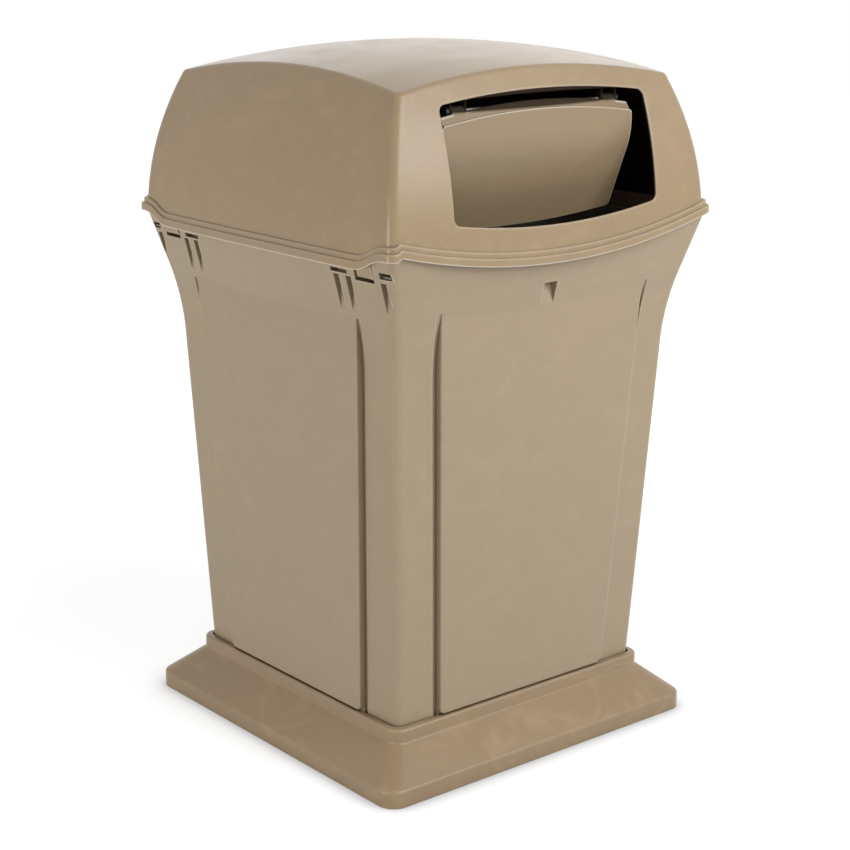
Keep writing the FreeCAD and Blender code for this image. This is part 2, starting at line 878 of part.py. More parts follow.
def soft_rims(shell):
    """Round the outer rims of both openings."""
    rims = []
    for edge in shell.Edges:
        middle = edge.valueAt((edge.FirstParameter + edge.LastParameter) / 2)
        inside = abs(middle.x) < opening_half + seat_gap
        if not inside or middle.z < opening_low_middle - seat_gap or middle.z > opening_top_middle + seat_gap:
            continue
        if abs(abs(middle.y) - hood_half_at(middle.z) + bow_at(middle.x)) < seat_gap:
            rims.append(edge)
    return smoothed(shell, opening_rim_radius, rims)


def hood_bores():
    """Bores for the hinge pins and door rods, and the slots of the catch hooks."""
    bore = pin_radius + running_gap
    slot_half = pin_radius + catch_slot_gap
    far_end = Vector(pin_from_centre, -window_far, pin_height)
    near_end = Vector(pin_from_centre, -window_near, pin_height)
    hinge = mirrored_x(rod(far_end, near_end, bore))
    catch = rod(far_end, near_end, slot_half)
    slot = box(
        pin_from_centre - slot_half,
        -window_far,
        window_bottom,
        pin_from_centre + slot_half,
        -window_near,
        pin_height,
    )
    bores = [hinge, catch, slot]
    return bores + [mirrored_y(one) for one in bores] + [door_rod_bore(), turned(door_rod_bore(), 180)]


# Swing doors


def door_slab(front_inset, back_inset):
    """The door's bent slab, between two depths behind its front surface."""
    lean = math.radians(door_lean_degrees)
    centre = Vector(0, door_bend_radius - door_face, door_bend_height)
    high = total_height
    tail = (door_bend_height - body_top_height + 3 * overrun) / math.cos(lean)

    def side(inset):
        radius = door_bend_radius - inset
        top = centre.add(Vector(0, -radius, high - door_bend_height))
        start = centre.add(Vector(0, -radius, 0))
        middle = centre.add(Vector(0, -math.cos(lean / 2), -math.sin(lean / 2)) * radius)
        end = centre.add(Vector(0, -math.cos(lean), -math.sin(lean)) * radius)
        foot = end.add(Vector(0, math.sin(lean), -math.cos(lean)) * tail)
        return top, start, middle, end, foot

    front = side(front_inset)
    back = side(back_inset)
    edges = []
    for top, start, middle, end, foot in (front, back):
        edges += [line(top, start), arc(start, middle, end), line(end, foot)]
    edges += [line(front[0], back[0]), line(front[4], back[4])]
    face = face_of(edges)
    face.translate(Vector(-reach, 0, 0))
    return face.extrude(Vector(2 * reach, 0, 0))


def door_facet(inset):
    """Everything under the facet that leans back above the ridge, set down by an inset."""
    run = overrun
    slope = door_facet_height / door_facet_depth
    half = door_half - inset
    low = body_bend_height - run * slope
    top = door_ridge_corner - run * slope - inset
    low_left = Vector(-half, 0, low)
    low_right = Vector(half, 0, low)
    top_left = Vector(-half, 0, top)
    top_right = Vector(half, 0, top)
    edges = [
        line(low_right, low_left),
        line(low_left, top_left),
        arc(top_left, Vector(0, 0, top + door_arch), top_right),
        line(top_right, low_right),
    ]
    face = face_of(edges)
    face.translate(Vector(0, -door_face - run, 0))
    return face.extrude(Vector(0, 4 * run, 4 * run * slope))


def door_block(inset, radius):
    """The door's front view pushed through, set in from its edges."""
    low_corner = door_low_corner + inset
    low_middle = door_low_middle + inset
    top_corner = door_ridge_corner - inset
    top_middle = top_corner + door_arch
    outline = arched_outline(door_half - inset, low_corner, low_middle, top_corner, top_middle)
    return arched_block(outline, radius)


def make_front_door():
    """Swing door: a bent skin with a rim behind it, two ribs and two knuckles on its rod."""
    skin = door_slab(0, door_depth)
    lower = skin.common(door_block(0, door_corner_radius))
    upper = skin.common(door_facet(door_ridge_step)).cut(door_base_cut())
    door = joined([lower, upper])
    door = door.cut(door_pocket())
    return without(joined([door] + door_ribs() + door_knuckles()), [door_rod_bore()])


def door_base_cut():
    """Everything below the height where the upper part of the door starts."""
    low = body_bend_height - reach
    return box(-reach, -reach, low, reach, reach, door_bend_height)


def door_pocket():
    """Space behind the skin, inside the rim, open to the rear."""
    inner = door_block(door_skin, door_corner_radius - door_skin / 2)
    return door_slab(door_skin, door_depth + overrun).common(inner)


def door_ribs():
    """Upright ribs behind the skin."""
    slab = door_slab(door_skin / 2, door_depth - door_skin / 2).common(door_block(0, door_corner_radius))
    ribs = []
    for side in (-1, 1):
        near = side * door_rib_from_centre - door_rib / 2
        ribs.append(slab.common(box(near, -reach, body_bend_height, near + door_rib, reach, total_height)))
    return ribs


def door_knuckles():
    """Knuckles round the rod, each with an arm to the top of the door."""
    knuckles = []
    for side in (-1, 1):
        near = side * door_knuckle_from_centre - door_knuckle_length / 2
        start = Vector(near, -door_axis_from_centre, door_axis_height)
        sleeve = rod(start, start.add(Vector(door_knuckle_length, 0, 0)), door_knuckle_radius)
        arm = box(
            near,
            -door_face + door_skin,
            door_bend_height + door_depth,
            near + door_knuckle_length,
            -door_axis_from_centre,
            door_axis_height,
        )
        knuckles += [sleeve, arm.common(door_facet(door_ridge_step))]
    return knuckles


def door_rod_bore():
    return rod(
        Vector(-opening_half, -door_axis_from_centre, door_axis_height),
        Vector(opening_half, -door_axis_from_centre, door_axis_height),
        door_rod_radius + running_gap,
    )


def cap_start():
    """Distance from the middle to the inner face of a rod cap."""
    return max(lug_places()) + lug_thickness / 2 + seat_gap


def make_door_rod():
    end = cap_start() + cap_thickness - seat_gap
    height = Vector(0, -door_axis_from_centre, door_axis_height)
    return rod(height.add(Vector(-end, 0, 0)), height.add(Vector(end, 0, 0)), door_rod_radius)


def make_rod_caps():
    caps = []
    for side in (-1, 1):
        start = Vector(side * cap_start(), -door_axis_from_centre, door_axis_height)
        end = start.add(Vector(side * (cap_thickness + seat_gap), 0, 0))
        bore_end = start.add(Vector(side * cap_thickness, 0, 0))
        bore = rod(start, bore_end, door_rod_radius + running_gap)
        caps.append(rod(start, end, cap_radius).cut(bore))
    return Part.makeCompound(caps)


# Pins of the hinge and catch sets


def make_pin():
    """Pin of the set in the -X -Y corner."""
    start = Vector(-pin_from_centre, -pin_far + seat_gap, pin_height)
    return rod(start, Vector(-pin_from_centre, -pin_near - seat_gap, pin_height), pin_radius)


# Liner


def liner_low():
    return socket_floor_top + seat_gap + body_floor + seat_gap


def liner_form(inset, low, high):
    """Tapered square form of the liner between two heights, set in from its outer face."""
    lean = (liner_top_half - liner_low_half) / (liner_top - liner_low())
    low_half = liner_low_half + lean * (low - liner_low()) - inset
    high_half = liner_low_half + lean * (high - liner_low()) - inset
    outline = [
        Vector(-low_half, 0, low),
        Vector(low_half, 0, low),
        Vector(high_half, 0, high),
        Vector(-high_half, 0, high),
    ]
    slab = elevation_block(closed(outline).Edges, reach)
    form = slab.common(turned(slab, 90))
    return smoothed(form, liner_corner_radius - inset, corner_edges(form, (high - low) / 2))


def make_liner_rim():
    """Rolled rim outside the top of the liner wall."""
    low = liner_top - 2 * liner_bead_radius
    inner_half = liner_inner_at(low) + liner_sheet / 2
    inner_radius = liner_corner_radius - liner_sheet / 2
    width = 2 * liner_bead_radius
    block = square_block(inner_half + width, inner_radius + width, low, liner_top)
    block = block.cut(square_block(inner_half, inner_radius, low - overrun, liner_top + overrun))
    edges = level_edges(block, low, 0, reach) + level_edges(block, liner_top, 0, reach)
    return smoothed(block, liner_bead_radius - liner_sheet / 2, edges)


def make_liner_wall():
    high = liner_top - liner_bead_radius
    inside = liner_form(liner_sheet, liner_low() - overrun, high + overrun)
    tube = liner_form(0, liner_low(), high).cut(inside)
    return without(joined([tube, make_liner_rim()]), liner_holes())


def make_liner_base():
    """Pan set up inside the foot of the liner, with its rim turned down to the foot."""
    floor_low = liner_low() + pan_recess
    outside = liner_sheet + running_gap
    form = liner_form(outside, liner_low(), floor_low + liner_sheet)
    hollow = liner_form(outside + liner_sheet, liner_low() - overrun, floor_low)
    return form.cut(hollow)


def ear_height_at():
    """Height of the axis of the bail handles."""
    return liner_top - ear_below_rim


def liner_inner_at(height):
    """Distance of the liner's inner face from the middle."""
    lean = (liner_top_half - liner_low_half) / (liner_top - liner_low())
    return liner_low_half + lean * (height - liner_low()) - liner_sheet


def on_liner(shape):
    """Move a shape made against an upright wall at X zero onto the leaning +X wall of the liner."""
    lean = math.degrees(math.atan((liner_top_half - liner_low_half) / (liner_top - liner_low())))
    copy = shape.copy()
    copy.rotate(origin, Vector(0, 1, 0), lean)
    copy.translate(Vector(liner_inner_at(ear_height_at()), 0, ear_height_at()))
    return copy


def rivet_places():
    places = []
    for side in (-1, 1):
        for rise in (-rivet_rise, rivet_rise):
            places.append(Vector(0, side * (ear_from_centre + ear_eye_length / 2), rise))
    return places


def make_ears():
    """Two ears on the +X wall; each is a plate with an eye for the end of the bail handle."""
    ears = []
    for side in (-1, 1):
        middle = side * (ear_from_centre + ear_eye_length / 2)
        plate = box(
            -ear_thickness - running_gap,
            middle - ear_width / 2,
            -ear_height / 2,
            -running_gap,
            middle + ear_width / 2,
            ear_height / 2,
        )
        start = Vector(-ear_standoff, side * ear_from_centre, 0)
        end = start.add(Vector(0, side * ear_eye_length, 0))
        eye = rod(start, end, ear_eye_radius)
        web = box(
            -ear_standoff,
            middle - ear_eye_length / 2,
            -ear_eye_radius,
            -ear_thickness,
            middle + ear_eye_length / 2,
            ear_eye_radius,
        )
        ear = joined([plate, eye, web])
        ear = ear.cut(rod(start, end, bail_radius + running_gap))
        holes = [rivet_shank(place, rivet_gap) for place in rivet_places()]
        ears.append(ear.cut(Part.makeCompound(holes)))
    return Part.makeCompound([on_liner(ear) for ear in ears])


def rivet_ends(place):
    """Where a rivet's heads start, inside the ear and outside the wall."""
    inner = place.add(Vector(-ear_thickness - rivet_gap, 0, 0))
    outer = place.add(Vector(liner_sheet + rivet_gap, 0, 0))
    return inner, outer


def rivet_shank(place, gap):
    inner, outer = rivet_ends(place)
    return rod(inner, outer, rivet_radius + gap)


def make_rivets():
    """Rivets of the four ears."""
    rivets = []
    for place in rivet_places():
        inner, outer = rivet_ends(place)
        heads = [
            rod(inner.add(Vector(-rivet_head, 0, 0)), inner, rivet_head_radius),
            rod(outer, outer.add(Vector(rivet_head, 0, 0)), rivet_head_radius),
        ]
        rivets.append(on_liner(joined([rivet_shank(place, 0)] + heads)))
    return Part.makeCompound(rivets + [mirrored_x(one) for one in rivets])


def liner_holes():
    holes = [on_liner(rivet_shank(place, rivet_gap)) for place in rivet_places()]
    return holes + [mirrored_x(one) for one in holes]


def bail_axis():
    """Point in the middle of the +X bail handle's axis."""
    lean = math.atan((liner_top_half - liner_low_half) / (liner_top - liner_low()))
    return Vector(
        liner_inner_at(ear_height_at()) - ear_standoff * math.cos(lean),
        0,
        ear_height_at() + ear_standoff * math.sin(lean),
    )


def make_bail():
    """Bail handle of round wire on the +X side, hanging straight down from its ears."""
    axis = bail_axis()
    tip = ear_from_centre + ear_eye_length
    bend = bail_bend_radius
    knee = bail_half + bend
    turn = bend * (1 - math.sqrt(0.5))
    low = axis.z - bail_drop

    def at(along, height):
        return Vector(axis.x, along, height)

    upper = [
        line(at(tip, axis.z), at(bail_half + 2 * bend, axis.z)),
        arc(at(bail_half + 2 * bend, axis.z), at(knee + turn, axis.z - turn), at(knee, axis.z - bend)),
        line(at(knee, axis.z - bend), at(knee, low + bend)),
        arc(at(knee, low + bend), at(knee - turn, low + turn), at(bail_half, low)),
    ]
    wires = upper + [line(at(bail_half, low), at(-bail_half, low))] + [mirrored_y(edge) for edge in upper]
    path = Part.Wire(Part.__sortEdges__(wires))
    section = Part.Wire(Part.makeCircle(bail_radius, at(tip, axis.z), Vector(0, 1, 0)))
    return path.makePipeShell([section], True, True)


# Bolts, washers and nuts


def in_bolt_places(shape):
    copies = []
    for place in bolt_places():
        copy = shape.copy()
        copy.translate(place)
        copies.append(copy)
    return Part.makeCompound(copies)


def hexagon(across, low, high):
    """Upright hexagonal prism."""
    radius = across / math.sqrt(3)
    points = []
    for corner in range(6):
        angle = math.radians(60 * corner)
        points.append(Vector(radius * math.cos(angle), radius * math.sin(angle), low))
    return prism(points, Vector(0, 0, high - low))


def floor_top():
    return socket_floor_top + seat_gap + body_floor


def nut_top():
    return socket_floor_top - socket_plate - running_gap


def make_bolts():
    under_head = floor_top() + washer_thickness + 2 * running_gap
    head = hexagon(bolt_head_across, under_head, under_head + bolt_head_height)
    shank = rod(Vector(0, 0, nut_top() - nut_height - bolt_tail), Vector(0, 0, under_head), bolt_radius)
    return in_bolt_places(joined([head, shank]))


def make_washers():
    low = floor_top() + running_gap
    disc = rod(Vector(0, 0, low), Vector(0, 0, low + washer_thickness), washer_radius)
    hole = rod(Vector(0, 0, low), Vector(0, 0, low + washer_thickness), bolt_radius + bolt_hole_gap)
    return in_bolt_places(disc.cut(hole))


def make_nuts():
    low = nut_top() - nut_height
    nut = hexagon(bolt_head_across, low, nut_top())
    hole = rod(Vector(0, 0, low), Vector(0, 0, nut_top()), bolt_radius + running_gap)
    return in_bolt_places(nut.cut(hole))


def save(name, shape):
    shape.exportStep("parts/" + name + ".step")


def main():
    pin = make_pin()
    door = make_front_door()
    door_rod = make_door_rod()
    caps = make_rod_caps()
    ears = make_ears()
    bail = make_bail()
    save("base_plinth", make_base_plinth())
    save("body_shell", make_body_shell())
    save("base_bolts", make_bolts())
    save("base_washers", make_washers())
    save("base_nuts", make_nuts())
    save("hinge_pin_front", pin)
    save("hinge_pin_rear", mirrored_y(pin))
    save("catch_pin_front", mirrored_x(pin))
    save("catch_pin_rear", turned(pin, 180))
    save("hood_shell", make_hood_shell())
    save("front_door", door)
    save("rear_door", turned(door, 180))
    save("front_door_rod", door_rod)
    save("rear_door_rod", turned(door_rod, 180))
    save("front_rod_caps", caps)
    save("rear_rod_caps", turned(caps, 180))
    save("liner_wall", make_liner_wall())
    save("liner_base", make_liner_base())
    save("liner_ears_left", mirrored_x(ears))
    save("liner_ears_right", ears)
    save("liner_rivets", make_rivets())
    save("liner_handle_left", mirrored_x(bail))
    save("liner_handle_right", bail)


main()
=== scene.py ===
import json
import math

import bpy
from mathutils import Matrix, Vector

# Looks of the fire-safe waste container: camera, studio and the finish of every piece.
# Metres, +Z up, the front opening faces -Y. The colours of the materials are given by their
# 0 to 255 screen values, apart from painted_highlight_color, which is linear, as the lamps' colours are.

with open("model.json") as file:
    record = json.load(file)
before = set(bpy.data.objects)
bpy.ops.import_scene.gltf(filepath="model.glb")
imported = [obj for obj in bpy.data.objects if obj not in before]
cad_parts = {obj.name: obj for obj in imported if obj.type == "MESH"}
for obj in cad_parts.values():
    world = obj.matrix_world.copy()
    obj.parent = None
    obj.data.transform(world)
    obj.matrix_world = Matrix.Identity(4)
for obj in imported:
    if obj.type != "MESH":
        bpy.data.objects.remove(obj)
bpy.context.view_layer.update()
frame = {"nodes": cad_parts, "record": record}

white = (1.0, 1.0, 1.0, 1.0)

# Camera, as the photograph was taken
image_width = 850
focal_pixels = 1896.8
centre_x_pixels = 353.6
centre_y_pixels = 416.8
sensor_width = 36.0
clip_end = 100
camera_place = Vector((-1.864, -2.213, 1.242))
camera_yaw = math.radians(38.063)
camera_pitch = math.radians(14.950)
camera_roll = math.radians(0.198)

# Form of the hood, as in the CAD model: walls that curve in above hood_tangent, faces that
# bow out a little, and a dome
hood_half = 0.3093
hood_radius = 0.560
hood_tangent = 0.785
face_radius = 10.75
dome_top = 1.054
dome_radius = 1.450

# Inside of the hood, painted dark as shade: hood_skin under its outer face, clear of its corners,
# above its flange
hood_skin = 0.0025
corner_cut = 0.003
hood_foot = 0.815

# Knuckles of a door, painted dark as shade: the part above knuckle_foot
knuckle_foot = 0.973
knuckle_fade = 0.003

# Noises, each with its scale, detail, roughness and distortion
swirl_noise = (5.0, 5.0, 0.6, 1.4)
cloud_noise = (22.0, 4.0, 0.55, 0.6)
speck_noise = (460.0, 3.0, 0.7)
streak_noise = (8.0, 4.0, 0.55, 2.2)
pebble_noise = (640.0, 3.0, 0.6)
wave_noise = (60.0, 2.0)
wander_noise = (30.0, 3.0)
cap_noise = (700.0, 2.0)
drawn_detail = (3.0, 0.6)
stain_detail = (4.0, 0.6)

# Ranges that are spread over new values; what lies outside one is held at its ends
noise_range = (0.3, 0.7)
wide_range = (0.25, 0.75)
full_range = (0.0, 1.0)

# Moulded plastic: how far each noise moves its tone and its roughness
seed_step = (1.7, 0.9, 2.3)
swirl_stretch = (1.0, 1.0, 0.45)
streak_stretch = (1.0, 1.0, 1.6)
swirl_tone = 0.020
cloud_tone = 0.012
speck_tone = 0.055
swirl_gloss = 0.03
cloud_gloss = 0.02
scuff_gloss = 0.5
streak_range = (0.50, 0.66)
patch_range = (0.30, 0.60)
patch_least = 0.3
plastic_ior = 1.5
specular = 0.5
inside_specular = 0.04
inside_rough = 0.95
pebble_strength = 0.22
pebble_depth = 0.0005
wave_share = 0.8
edge_radius = 0.0022
edge_samples = 6

# Painted shade in nooks, darker where other faces are near, and a painted highlight on convex edges
nook_reach = 0.005
nook_range = (0.25, 0.9)
painted_nook_shade = 0.45
rim_reach = 0.0024
rim_range = (0.62, 0.95)
painted_highlight_color = (0.86, 0.79, 0.66, 1.0)
wear_samples = 8

# Drawn steel
drawn_tone = 0.08
stain_tone = 0.06
drawn_gloss = 0.07
drawn_strength = 0.12
drawn_depth = 0.0002

# Zinc-coated sheet
zinc_color = (178, 182, 185)
zinc_rough = (0.38, 0.52)
crystal_scale = 90.0
crystal_wander = 0.04
crystal_tone = 0.10
dull_tone = 0.05
crystal_strength = 0.08
crystal_depth = 0.0003

# Black caps
cap_dark = (20, 20, 20)
cap_pale = (34, 34, 34)
cap_rough = (0.45, 0.6)
cap_strength = 0.1
cap_depth = 0.0002

# Studio
floor_half = 9.0
floor_albedo = 0.85
floor_glow = 0.84
seen_albedo = 0.40
# Painted contact shadow: the floor is darker where the object is near
contact_reach = 0.08
contact_range = (0.5, 0.97)
contact_shade = 0.52
contact_samples = 12
near_floor = 0.75
far_floor = 1.9
ambient = 0.25

# Lamps: name, place, aim, width, height, watts, colour
lamps = (
    ("key_box", (0.62, -3.0, 2.55), (0, 0, 0.55), 2.6, 2.3, 87, (0.97, 0.99, 1.04)),
    ("left_box", (-3.4, 0.1, 0.55), (0, 0, 0.55), 1.2, 1.0, 36, (1.0, 0.98, 0.93)),
    ("back_box", (2.75, 2.45, 2.15), (0, 0, 0.9), 3.4, 1.5, 13, (1, 1, 1)),
    ("strip_box", (1.75, -2.75, 1.75), (0, -0.3, 0.9), 0.45, 1.2, 12, (1, 1, 1)),
)

# Sockets of a Mix node that mixes colours
mix_share, mix_first, mix_second, mix_result = 0, 6, 7, 2


def make_camera():
    forward = Vector((
        math.sin(camera_yaw) * math.cos(camera_pitch),
        math.cos(camera_yaw) * math.cos(camera_pitch),
        -math.sin(camera_pitch),
    ))
    level_right = Vector((math.cos(camera_yaw), -math.sin(camera_yaw), 0))
    level_down = forward.cross(level_right)
    right = level_right * math.cos(camera_roll) + level_down * math.sin(camera_roll)
    down = forward.cross(right)
    turn = Matrix((right, -down, -forward)).transposed().to_4x4()
    data = bpy.data.cameras.new("camera")
    data.sensor_fit = "HORIZONTAL"
    data.sensor_width = sensor_width
    data.lens = focal_pixels / image_width * sensor_width
    data.shift_x = 0.5 - centre_x_pixels / image_width
    data.shift_y = centre_y_pixels / image_width - 0.5
    data.clip_end = clip_end
    camera = bpy.data.objects.new("camera", data)
    camera.matrix_world = Matrix.Translation(camera_place) @ turn
    bpy.context.collection.objects.link(camera)
    bpy.context.scene.camera = camera


class Nodes:
    """Short calls for building a node tree."""

    def __init__(self, tree):
        self.tree = tree
        self.tree.nodes.clear()

    def add(self, kind, **settings):
        node = self.tree.nodes.new("ShaderNode" + kind)
        for name, value in settings.items():
            setattr(node, name, value)
        return node

    def put(self, socket, value):
        """Link an output to a socket, or set the socket's own value."""
        if isinstance(value, bpy.types.NodeSocket):
            self.tree.links.new(value, socket)
        elif value is not None:
            socket.default_value = value

    def end(self, kind, shader):
        output = self.add(kind)
        self.put(output.inputs["Surface"], shader.outputs[0])

    # Numbers

    def math(self, operation, first, second=None):
        node = self.add("Math", operation=operation)
        self.put(node.inputs[0], first)
        self.put(node.inputs[1], second)
        return node.outputs[0]

    def total(self, first, *others):
        for other in others:
            first = self.math("ADD", first, other)
        return first

    def minus(self, first, second):
        return self.math("SUBTRACT", first, second)

    def times(self, first, *others):
        for other in others:
            first = self.math("MULTIPLY", first, other)
        return first

    def less(self, first, second):
        """One where the first is less than the second, and zero elsewhere."""
        return self.math("LESS_THAN", first, second)

    def spread(self, value, low, high, new_low, new_high):
        """Map a range of values to another one, without going past its ends."""
        node = self.add("MapRange", clamp=True)
        for index, entry in enumerate((value, low, high, new_low, new_high)):
            self.put(node.inputs[index], entry)
        return node.outputs[0]

    def sway(self, noise, reach, middle=0.0, within=noise_range):
        """Map a noise to middle plus or minus reach."""
        return self.spread(noise, *within, middle - reach, middle + reach)

    # Places

    def object_place(self):
        return self.add("TexCoord").outputs["Object"]

    def split(self, vector):
        node = self.add("SeparateXYZ")
        self.put(node.inputs[0], vector)
        return node.outputs

    def mapped(self, vector, **settings):
        node = self.add("Mapping")
        self.put(node.inputs["Vector"], vector)
        for name, value in settings.items():
            self.put(node.inputs[name], value)
        return node.outputs["Vector"]

    def measured(self, operation, vector, other=None):
        """A number worked out from one vector or two."""
        node = self.add("VectorMath", operation=operation)
        self.put(node.inputs[0], vector)
        self.put(node.inputs[1], other)
        return node.outputs["Value"]

    def noise(self, vector, scale, detail, roughness=0.5, distortion=0.0):
        node = self.add("TexNoise")
        self.put(node.inputs["Vector"], vector)
        self.put(node.inputs["Scale"], scale)
        self.put(node.inputs["Detail"], detail)
        self.put(node.inputs["Roughness"], roughness)
        self.put(node.inputs["Distortion"], distortion)
        return node.outputs["Fac"]

    def occlusion(self, reach, samples, **settings):
        """One where nothing is near within reach, and less in a nook."""
        node = self.add("AmbientOcclusion", samples=samples, **settings)
        self.put(node.inputs["Distance"], reach)
        return node.outputs["AO"]

    def background_ray(self):
        """One for the rays that see the studio: the camera's, reflections and through glass."""
        rays = self.add("LightPath").outputs
        straight = self.math("MAXIMUM", rays["Is Camera Ray"], rays["Is Glossy Ray"])
        return self.math("MAXIMUM", straight, rays["Is Transmission Ray"])

    # Colours and surfaces

    def blended(self, share, first, second):
        """Mix two colours."""
        node = self.add("Mix", data_type="RGBA", blend_type="MIX")
        self.put(node.inputs[mix_share], share)
        self.put(node.inputs[mix_first], first)
        self.put(node.inputs[mix_second], second)
        return node.outputs[mix_result]

    def toned(self, color, tone):
        """A colour made lighter or darker by tone."""
        node = self.add("HueSaturation")
        self.put(node.inputs["Color"], color)
        self.put(node.inputs["Value"], self.total(tone, 1.0))
        return node.outputs["Color"]

    def bump(self, height, strength, depth, normal=None):
        node = self.add("Bump")
        self.put(node.inputs["Strength"], strength)
        self.put(node.inputs["Distance"], depth)
        self.put(node.inputs["Height"], height)
        self.put(node.inputs["Normal"], normal)
        return node.outputs["Normal"]

    def surface(self, values):
        """End the material in a Principled shader with these values on its sockets."""
        shader = self.add("BsdfPrincipled")
        for name, value in values.items():
            self.put(shader.inputs[name], value)
        self.end("OutputMaterial", shader)


def new_material(name):
    material = bpy.data.materials.new(name)
    material.use_nodes = True
    return material, Nodes(material.node_tree)


def from_screen(color):
    """The linear colour of 0 to 255 screen values."""
    linear = []
    for value in color:
        share = value / 255
        linear.append(share / 12.92 if share <= 0.04045 else ((share + 0.055) / 1.055) ** 2.4)
    return (*linear, 1.0)


# Masks: one where a piece is painted dark as shade, worked out from the place on the piece


def painted_shade_inside_hood(nodes, place):
    """One on the faces inside the hood, worked out from its walls and its dome; there the inside is
    painted dark as shade.
    """
    x, y, z = nodes.split(place)
    rise = nodes.math("MAXIMUM", nodes.minus(z, hood_tangent), 0.0)
    fall = nodes.math("SQRT", nodes.minus(hood_radius * hood_radius, nodes.times(rise, rise)))
    half = nodes.total(fall, hood_half - hood_radius - hood_skin)
    bow = 0.5 / face_radius
    out_x = nodes.total(nodes.math("ABSOLUTE", x), nodes.times(y, y, bow))
    out_y = nodes.total(nodes.math("ABSOLUTE", y), nodes.times(x, x, bow))
    within = nodes.less(nodes.math("MAXIMUM", out_x, out_y), half)
    mean = nodes.times(nodes.total(out_x, out_y), 0.5)
    off_corner = nodes.less(mean, nodes.minus(half, corner_cut))
    dome_centre = (0, 0, dome_top - dome_radius)
    under = nodes.less(nodes.measured("DISTANCE", place, dome_centre), dome_radius - hood_skin)
    above = nodes.math("GREATER_THAN", z, hood_foot)
    return nodes.times(within, off_corner, under, above)


def painted_shade_on_knuckles(nodes, place):
    """One on the knuckles above the door's top edge, which are painted dark as shade."""
    height = nodes.split(place)[2]
    return nodes.spread(height, knuckle_foot, knuckle_foot + knuckle_fade, *full_range)


# Materials


def moulded_plastic(name, color, seed, gloss, scuffs, painted_highlight_lift=0.6, inside=None, painted_shade_mask=None):
    """Satin structural foam: faint swirls in its colour, a fine pebble, a painted highlight on its
    edges, painted shade in its nooks and dull scuffs. Where its mask is one, it is dull and painted
    dark as shade in the colour inside."""
    material, nodes = new_material(name)
    piece_place = nodes.object_place()
    place = nodes.mapped(piece_place, Location=[seed * step for step in seed_step])
    swirl = nodes.noise(nodes.mapped(place, Scale=swirl_stretch), *swirl_noise)
    cloud = nodes.noise(place, *cloud_noise)
    speck = nodes.noise(place, *speck_noise)
    streak = nodes.noise(nodes.mapped(place, Scale=streak_stretch), *streak_noise)
    scuff = nodes.times(
        nodes.spread(streak, *streak_range, *full_range),
        nodes.spread(cloud, *patch_range, patch_least, 1.0),
    )
    nook = nodes.occlusion(nook_reach, wear_samples)
    open_air = nodes.spread(nook, *nook_range, *full_range)
    crest = nodes.occlusion(rim_reach, wear_samples, only_local=True, inside=True)
    painted_highlight = nodes.times(nodes.spread(crest, *rim_range, 1.0, 0.0), open_air)
    tone = nodes.total(
        nodes.sway(swirl, swirl_tone),
        nodes.sway(cloud, cloud_tone),
        nodes.sway(speck, speck_tone, within=wide_range),
        nodes.times(scuff, scuffs),
    )
    # Painted shade: the tone is darker where the surroundings close in.
    tone = nodes.minus(tone, nodes.times(nodes.minus(1.0, open_air), painted_nook_shade))
    finish = nodes.toned(from_screen(color), tone)
    # Painted highlight: convex edges are lightened toward a pale highlight colour.
    finish = nodes.blended(nodes.times(painted_highlight, painted_highlight_lift), finish, painted_highlight_color)
    rough = nodes.total(
        nodes.sway(swirl, swirl_gloss, gloss),
        nodes.sway(cloud, cloud_gloss),
        nodes.times(scuff, scuff_gloss * scuffs),
    )
    values = {"IOR": plastic_ior}
    if inside:
        # Painted shade: where the mask is one, the colour inside darkens the surface, and it is
        # dull.
        shade = painted_shade_mask(nodes, piece_place)
        finish = nodes.blended(shade, finish, from_screen(inside))
        rough = nodes.math("MAXIMUM", rough, nodes.times(shade, inside_rough))
        values["Specular IOR Level"] = nodes.spread(shade, *full_range, specular, inside_specular)
    pebble = nodes.noise(place, *pebble_noise)
    height = nodes.total(pebble, nodes.times(nodes.noise(place, *wave_noise), wave_share))
    soft = nodes.add("Bevel", samples=edge_samples)
    nodes.put(soft.inputs["Radius"], edge_radius)
    bump = nodes.bump(height, pebble_strength, pebble_depth, soft.outputs["Normal"])
    nodes.surface({"Base Color": finish, "Roughness": rough, "Normal": bump, **values})
    return material


def steel(name, color, rough, stretch, grain_scale, stain_scale):
    """Bare or plated steel with a drawn grain."""
    material, nodes = new_material(name)
    place = nodes.object_place()
    grain = nodes.noise(nodes.mapped(place, Scale=stretch), grain_scale, *drawn_detail)
    stain = nodes.noise(place, stain_scale, *stain_detail)
    tone = nodes.total(nodes.sway(grain, drawn_tone), nodes.sway(stain, stain_tone))
    nodes.surface({
        "Metallic": 1.0,
        "Base Color": nodes.toned(from_screen(color), tone),
        "Roughness": nodes.sway(grain, drawn_gloss, rough, wide_range),
        "Normal": nodes.bump(grain, drawn_strength, drawn_depth),
    })
    return material


def galvanised(name):
    """Zinc-coated sheet with its pattern of crystals."""
    material, nodes = new_material(name)
    place = nodes.object_place()
    wander = nodes.noise(place, *wander_noise)
    crystal = nodes.add("TexVoronoi", feature="F1")
    nodes.put(crystal.inputs["Vector"], nodes.blended(crystal_wander, place, wander))
    nodes.put(crystal.inputs["Scale"], crystal_scale)
    facet = nodes.add("SeparateColor")
    nodes.put(facet.inputs[0], crystal.outputs["Color"])
    shade = nodes.sway(facet.outputs[0], crystal_tone, within=full_range)
    tone = nodes.total(shade, nodes.sway(wander, dull_tone))
    nodes.surface({
        "Metallic": 1.0,
        "Base Color": nodes.toned(from_screen(zinc_color), tone),
        "Roughness": nodes.spread(facet.outputs[1], *full_range, *zinc_rough),
        "Normal": nodes.bump(facet.outputs[2], crystal_strength, crystal_depth),
    })
    return material


